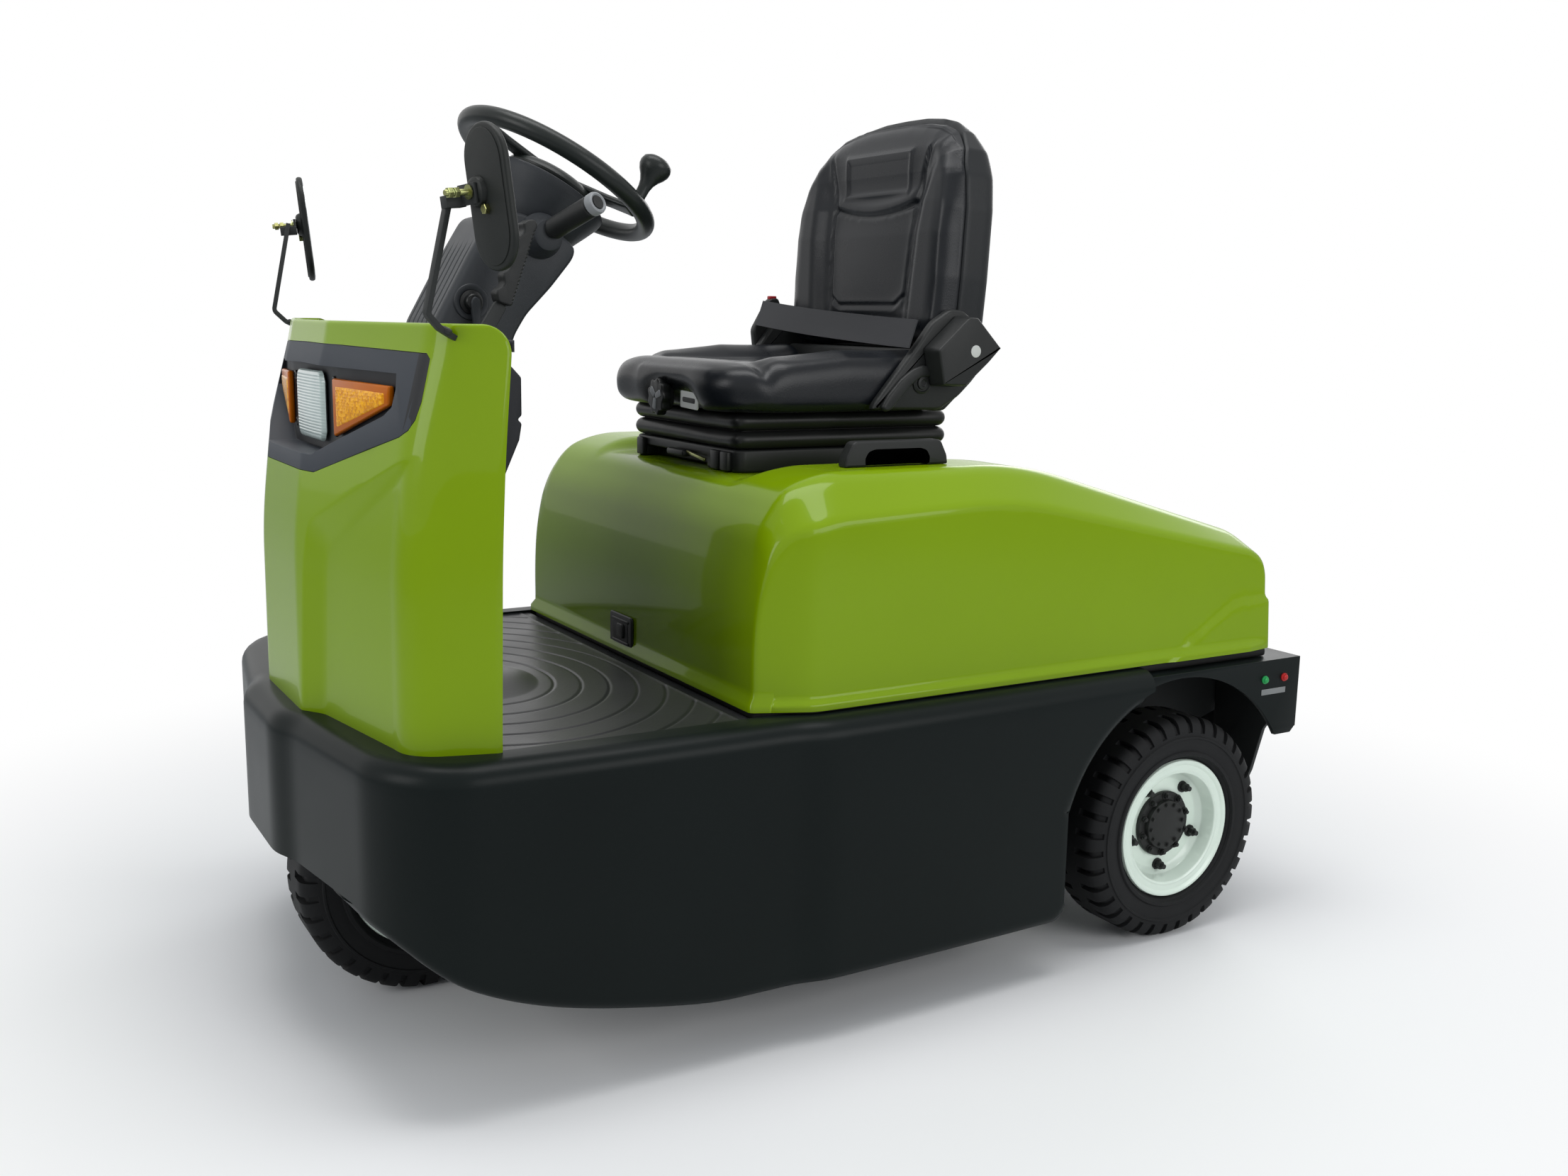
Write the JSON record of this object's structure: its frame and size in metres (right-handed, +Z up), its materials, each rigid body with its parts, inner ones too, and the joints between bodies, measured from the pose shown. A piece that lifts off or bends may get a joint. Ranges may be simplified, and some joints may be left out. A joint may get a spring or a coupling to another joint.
{
  "type": "electric baggage tug",
  "caption": "Electric baggage tug with a driver's seat on its hinged hood, wrap-round skirt, steered front wheel, solid tyres and a drop-pin tow coupling behind.",
  "frame": {"origin": "centre of the footprint on the ground, halfway between nose and tow coupling", "axes": "+X forward, +Y to the vehicle's left, +Z up"},
  "size_m": [1.7, 0.9966, 1.357],
  "materials": {
    "lime_body": "gloss",
    "charcoal_skirt": "satin",
    "frame_black": "satin",
    "black_plastic": "fine grain",
    "grey_plastic": "fine grain",
    "grip_black": "soft touch",
    "lamp_lens": "clear",
    "indicator_lens": "moulded lens",
    "mat_rubber": "ribbed",
    "bellows_rubber": "matt",
    "seat_vinyl": "satin vinyl",
    "belt_webbing": "woven",
    "tyre_rubber": "dusty",
    "mint_rim": "gloss",
    "zinc_steel": "yellow passivated",
    "cast_housing": "painted",
    "battery_steel": "matt"
  },
  "bodies": {
    "chassis": {"skirt": "charcoal_skirt", "frame": "frame_black", "floor_mat": "mat_rubber", "cowl": "lime_body", "lamp_bezel": "black_plastic", "headlamp": "lamp_lens", "indicators": "indicator_lens", "dash_panel": "black_plastic", "column_shroud": "grey_plastic", "column_switches": "black_plastic", "brake_lever": "black_plastic", "pedals": "frame_black", "mirrors": "black_plastic", "mirror_arms": "frame_black", "rear_deck": "frame_black", "hood_hinges": "zinc_steel", "hood_seal": "mat_rubber", "battery": "battery_steel", "drive_axle": "cast_housing", "tow_coupling": "cast_housing"},
    "hood": {"hood": "lime_body", "hood_latch": "black_plastic", "grab_handle": "black_plastic", "seat_base": "frame_black", "seat_bellows": "bellows_rubber", "seat_cushion": "seat_vinyl", "seat_frame": "frame_black", "seat_back": "seat_vinyl", "seat_back_shell": "black_plastic", "seat_side_covers": "black_plastic", "belt_fittings": "black_plastic", "lap_belt": "belt_webbing", "seat_knob": "black_plastic"},
    "steering_wheel": {"steering_wheel": "grip_black"},
    "front_fork": {"front_fork": "frame_black"},
    "front_wheel": {"tyre_front": "tyre_rubber", "rim_front": "mint_rim", "hub_front": "frame_black"},
    "rear_wheel_left": {"tyre_rear_left": "tyre_rubber", "rim_rear_left": "mint_rim", "hub_rear_left": "frame_black"},
    "rear_wheel_right": {"tyre_rear_right": "tyre_rubber", "rim_rear_right": "mint_rim", "hub_rear_right": "frame_black"},
    "tow_pin": {"tow_pin": "zinc_steel"}
  },
  "joints": [
    {"name": "hood_hinge", "type": "hinge", "parent": "chassis", "child": "hood", "pos_m": [-0.727, 0, 0.48], "axis": [0, -1, 0], "range_deg": [0, 55]},
    {"name": "front_steer", "type": "hinge", "parent": "chassis", "child": "front_fork", "pos_m": [0.63, 0, 0.42], "axis": [0, 0, 1], "range_deg": [-70, 70]},
    {"name": "front_wheel_spin", "type": "hinge", "parent": "front_fork", "child": "front_wheel", "pos_m": [0.63, 0, 0.19], "axis": [0, 1, 0], "continuous": true},
    {"name": "rear_left_spin", "type": "hinge", "parent": "chassis", "child": "rear_wheel_left", "pos_m": [-0.52, 0.405, 0.19], "axis": [0, 1, 0], "continuous": true},
    {"name": "rear_right_spin", "type": "hinge", "parent": "chassis", "child": "rear_wheel_right", "pos_m": [-0.52, -0.405, 0.19], "axis": [0, 1, 0], "continuous": true},
    {"name": "steering_wheel_turn", "type": "hinge", "parent": "chassis", "child": "steering_wheel", "pos_m": [0.39, 0, 1.226], "axis": [-0.515, 0, 0.8572], "range_deg": [-490, 490]},
    {"name": "tow_pin_lift", "type": "slide", "parent": "chassis", "child": "tow_pin", "axis": [0, 0, 1], "range_m": [0, 0.1]}
  ],
  "couplings": [
    {"joint": "steering_wheel_turn", "follows": "front_steer", "ratio": 7}
  ]
}
